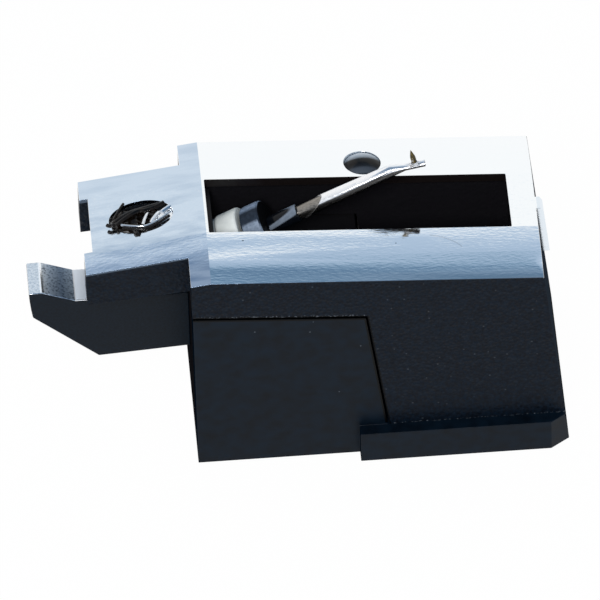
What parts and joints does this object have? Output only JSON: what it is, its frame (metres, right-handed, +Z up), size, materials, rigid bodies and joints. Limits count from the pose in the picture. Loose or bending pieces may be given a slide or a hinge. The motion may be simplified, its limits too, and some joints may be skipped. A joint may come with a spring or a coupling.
{
  "type": "turntable stylus",
  "caption": "Replacement phono stylus lying tip up: silver shroud with a long window, black hollow body with base rails, rear tongue and a bent cantilever with a diamond tip.",
  "frame": {"origin": "on the base plane, under the middle of the part's length and width", "axes": "X from the rear tongue to the front, Y across, Z up from the base to the stylus tip"},
  "size_m": [0.0192, 0.0082, 0.0115],
  "materials": {
    "metallised_silver": "vacuum-metallised plastic with a fine brushed grain",
    "textured_black": "fine sparkle-textured black moulding",
    "smooth_black": "smooth satin black moulding",
    "tongue_black": "satin black moulding with a silver-coated end",
    "ferrule_grey": "dull grey metal",
    "bush_cream": "cream nylon",
    "damper_rubber": "soft black rubber",
    "wire_steel": "drawn steel wire",
    "magnet_black": "glossy black coated magnet",
    "sleeve_grey": "dull grey tube",
    "tube_aluminium": "bright drawn aluminium tube",
    "tip_diamond": "ground olive-brown diamond",
    "cement_clear": "hard amber cement",
    "clip_bright": "bright metal",
    "cement_dark": "lumpy dark hard cement"
  },
  "bodies": {
    "housing": {"silver_shroud": "metallised_silver", "outer_shell": "textured_black", "inner_carrier": "smooth_black", "rear_tongue": "tongue_black", "bush_ferrule": "ferrule_grey", "suspension_bush": "bush_cream", "tie_wire": "wire_steel", "port_clip": "clip_bright", "port_cement": "cement_dark"},
    "damper": {"rubber_damper": "damper_rubber"},
    "cantilever": {"rod_magnet": "magnet_black", "inner_sleeve": "sleeve_grey", "cantilever_tube": "tube_aluminium", "diamond_tip": "tip_diamond", "tip_cement": "cement_clear"}
  },
  "joints": [
    {"name": "vertical_sway", "type": "hinge", "parent": "housing", "child": "damper", "pos_m": [-0.00118, 0, 0.00796], "axis": [0, 1, 0], "range_deg": [-3, 4], "stiffness_Nm_per_rad": 0.0018, "deforming": ["rubber_damper", "tie_wire"]},
    {"name": "side_sway", "type": "hinge", "parent": "damper", "child": "cantilever", "pos_m": [-0.00118, 0, 0.00796], "axis": [-0.4714, 0, 0.8819], "range_deg": [-4, 4], "stiffness_Nm_per_rad": 0.0018, "deforming": ["rubber_damper", "tie_wire"]}
  ]
}
